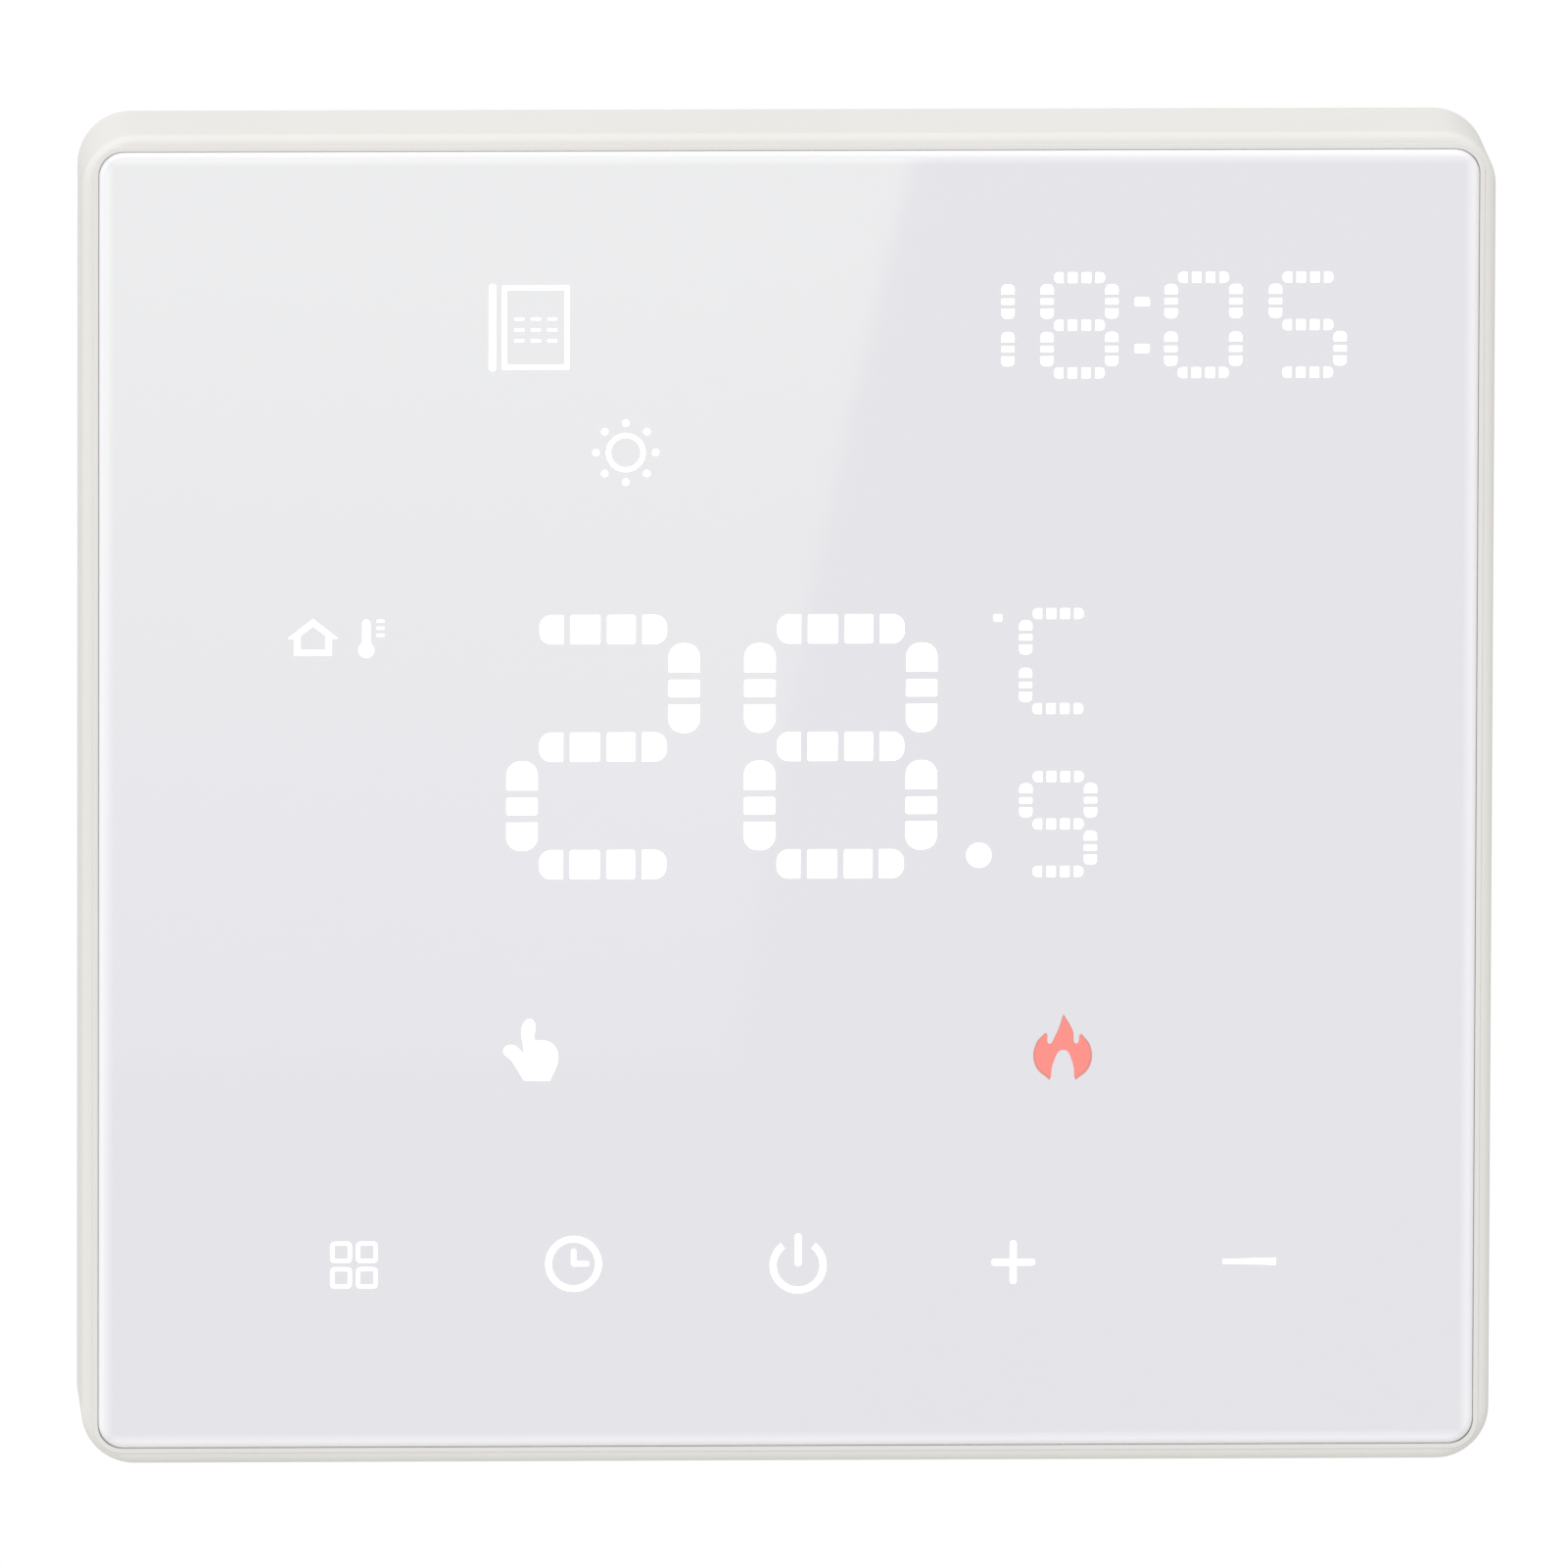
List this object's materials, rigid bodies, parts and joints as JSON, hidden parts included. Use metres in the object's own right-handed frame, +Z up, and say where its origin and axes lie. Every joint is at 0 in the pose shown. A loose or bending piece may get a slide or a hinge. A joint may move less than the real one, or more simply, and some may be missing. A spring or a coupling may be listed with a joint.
{
  "type": "wall_thermostat",
  "caption": "Wall thermostat: white glass touch front in an off-white plastic housing, hooked on a wall unit with steel mounting plate, power box and terminals",
  "frame": {"origin": "middle of the wall plane behind the housing", "axes": "+Z up, front faces -Y, +X to the right seen from the front"},
  "size_m": [0.09, 0.043, 0.0856],
  "materials": {
    "white_glass": "gloss, coated white behind",
    "white_plastic": "fine satin",
    "grey_plastic": "satin",
    "film": "matt, translucent",
    "black_plastic": "matt",
    "blue_plastic": "semi-gloss",
    "green_plastic": "satin",
    "yellow_plastic": "semi-gloss",
    "board_green": "solder-mask lacquer",
    "zinc_steel": "zinc plated",
    "screw_steel": "nickel plated",
    "spring_steel": "gold flashed",
    "brass": "satin",
    "copper_wire": "enamelled copper",
    "ferrite": "matt",
    "varistor_coat": "dipped coating",
    "sleeve": "shrink sleeve"
  },
  "bodies": {
    "wall_unit": {"base_plate": "white_plastic", "mounting_plate": "zinc_steel", "power_box": "white_plastic", "box_screw_1": "screw_steel", "box_screw_2": "screw_steel", "box_screw_3": "screw_steel", "box_screw_4": "screw_steel", "wall_screw_left": "screw_steel", "wall_screw_right": "screw_steel", "power_board": "board_green", "link_socket": "black_plastic", "relay_base": "black_plastic", "relay_case": "blue_plastic", "relay_coil": "copper_wire", "relay_yoke": "zinc_steel", "relay_contact": "brass", "transformer_core": "ferrite", "transformer_coil": "yellow_plastic", "filter_capacitor": "sleeve", "suppressor_capacitor": "yellow_plastic", "varistor": "varistor_coat", "fuse": "black_plastic", "terminal_housing": "green_plastic"},
    "front_unit": {"front_panel": "white_glass", "front_housing": "white_plastic", "diffuser_sheet": "film", "segment_mask": "black_plastic", "display_board": "board_green", "touch_spring_menu": "spring_steel", "touch_spring_clock": "spring_steel", "touch_spring_power": "spring_steel", "touch_spring_plus": "spring_steel", "touch_spring_minus": "spring_steel", "control_chip": "black_plastic", "driver_chip": "black_plastic", "buzzer": "black_plastic", "clock_capacitor": "screw_steel", "room_sensor": "black_plastic", "link_header": "black_plastic", "board_cover": "grey_plastic", "cover_screw_1": "screw_steel", "cover_screw_2": "screw_steel", "cover_screw_3": "screw_steel", "cover_screw_4": "screw_steel"},
    "armature": {"relay_armature": "zinc_steel", "relay_blade": "brass"},
    "clamp_screw_1": {"terminal_screw_1": "screw_steel"},
    "clamp_cage_1": {"terminal_clamp_1": "brass"},
    "clamp_screw_2": {"terminal_screw_2": "screw_steel"},
    "clamp_cage_2": {"terminal_clamp_2": "brass"},
    "clamp_screw_3": {"terminal_screw_3": "screw_steel"},
    "clamp_cage_3": {"terminal_clamp_3": "brass"},
    "clamp_screw_4": {"terminal_screw_4": "screw_steel"},
    "clamp_cage_4": {"terminal_clamp_4": "brass"},
    "clamp_screw_5": {"terminal_screw_5": "screw_steel"},
    "clamp_cage_5": {"terminal_clamp_5": "brass"},
    "clamp_screw_6": {"terminal_screw_6": "screw_steel"},
    "clamp_cage_6": {"terminal_clamp_6": "brass"}
  },
  "joints": [
    {"name": "front_swing", "type": "hinge", "parent": "wall_unit", "child": "front_unit", "pos_m": [0, -0.003, 0.0401], "axis": [-1, 0, 0], "range_deg": [0, 20]},
    {"name": "armature_pull", "type": "hinge", "parent": "wall_unit", "child": "armature", "pos_m": [-0.0044, 0.01715, 0.012], "axis": [0, 0, 1], "range_deg": [0, 3], "stiffness_Nm_per_rad": 0.02, "springref_deg": -1.15},
    {"name": "screw_turn_1", "type": "hinge", "parent": "wall_unit", "child": "clamp_screw_1", "pos_m": [-0.01875, 0.0164, -0.01935], "axis": [0, -1, 0], "range_deg": [0, 1440]},
    {"name": "cage_rise_1", "type": "slide", "parent": "wall_unit", "child": "clamp_cage_1", "axis": [0, 1, 0], "range_m": [0, 0.002]},
    {"name": "screw_turn_2", "type": "hinge", "parent": "wall_unit", "child": "clamp_screw_2", "pos_m": [-0.01125, 0.0164, -0.01935], "axis": [0, -1, 0], "range_deg": [0, 1440]},
    {"name": "cage_rise_2", "type": "slide", "parent": "wall_unit", "child": "clamp_cage_2", "axis": [0, 1, 0], "range_m": [0, 0.002]},
    {"name": "screw_turn_3", "type": "hinge", "parent": "wall_unit", "child": "clamp_screw_3", "pos_m": [-0.00375, 0.0164, -0.01935], "axis": [0, -1, 0], "range_deg": [0, 1440]},
    {"name": "cage_rise_3", "type": "slide", "parent": "wall_unit", "child": "clamp_cage_3", "axis": [0, 1, 0], "range_m": [0, 0.002]},
    {"name": "screw_turn_4", "type": "hinge", "parent": "wall_unit", "child": "clamp_screw_4", "pos_m": [0.00375, 0.0164, -0.01935], "axis": [0, -1, 0], "range_deg": [0, 1440]},
    {"name": "cage_rise_4", "type": "slide", "parent": "wall_unit", "child": "clamp_cage_4", "axis": [0, 1, 0], "range_m": [0, 0.002]},
    {"name": "screw_turn_5", "type": "hinge", "parent": "wall_unit", "child": "clamp_screw_5", "pos_m": [0.01125, 0.0164, -0.01935], "axis": [0, -1, 0], "range_deg": [0, 1440]},
    {"name": "cage_rise_5", "type": "slide", "parent": "wall_unit", "child": "clamp_cage_5", "axis": [0, 1, 0], "range_m": [0, 0.002]},
    {"name": "screw_turn_6", "type": "hinge", "parent": "wall_unit", "child": "clamp_screw_6", "pos_m": [0.01875, 0.0164, -0.01935], "axis": [0, -1, 0], "range_deg": [0, 1440]},
    {"name": "cage_rise_6", "type": "slide", "parent": "wall_unit", "child": "clamp_cage_6", "axis": [0, 1, 0], "range_m": [0, 0.002]}
  ],
  "couplings": [
    {"joint": "screw_turn_1", "follows": "cage_rise_1", "rad_per_m": 12566},
    {"joint": "screw_turn_2", "follows": "cage_rise_2", "rad_per_m": 12566},
    {"joint": "screw_turn_3", "follows": "cage_rise_3", "rad_per_m": 12566},
    {"joint": "screw_turn_4", "follows": "cage_rise_4", "rad_per_m": 12566},
    {"joint": "screw_turn_5", "follows": "cage_rise_5", "rad_per_m": 12566},
    {"joint": "screw_turn_6", "follows": "cage_rise_6", "rad_per_m": 12566}
  ]
}
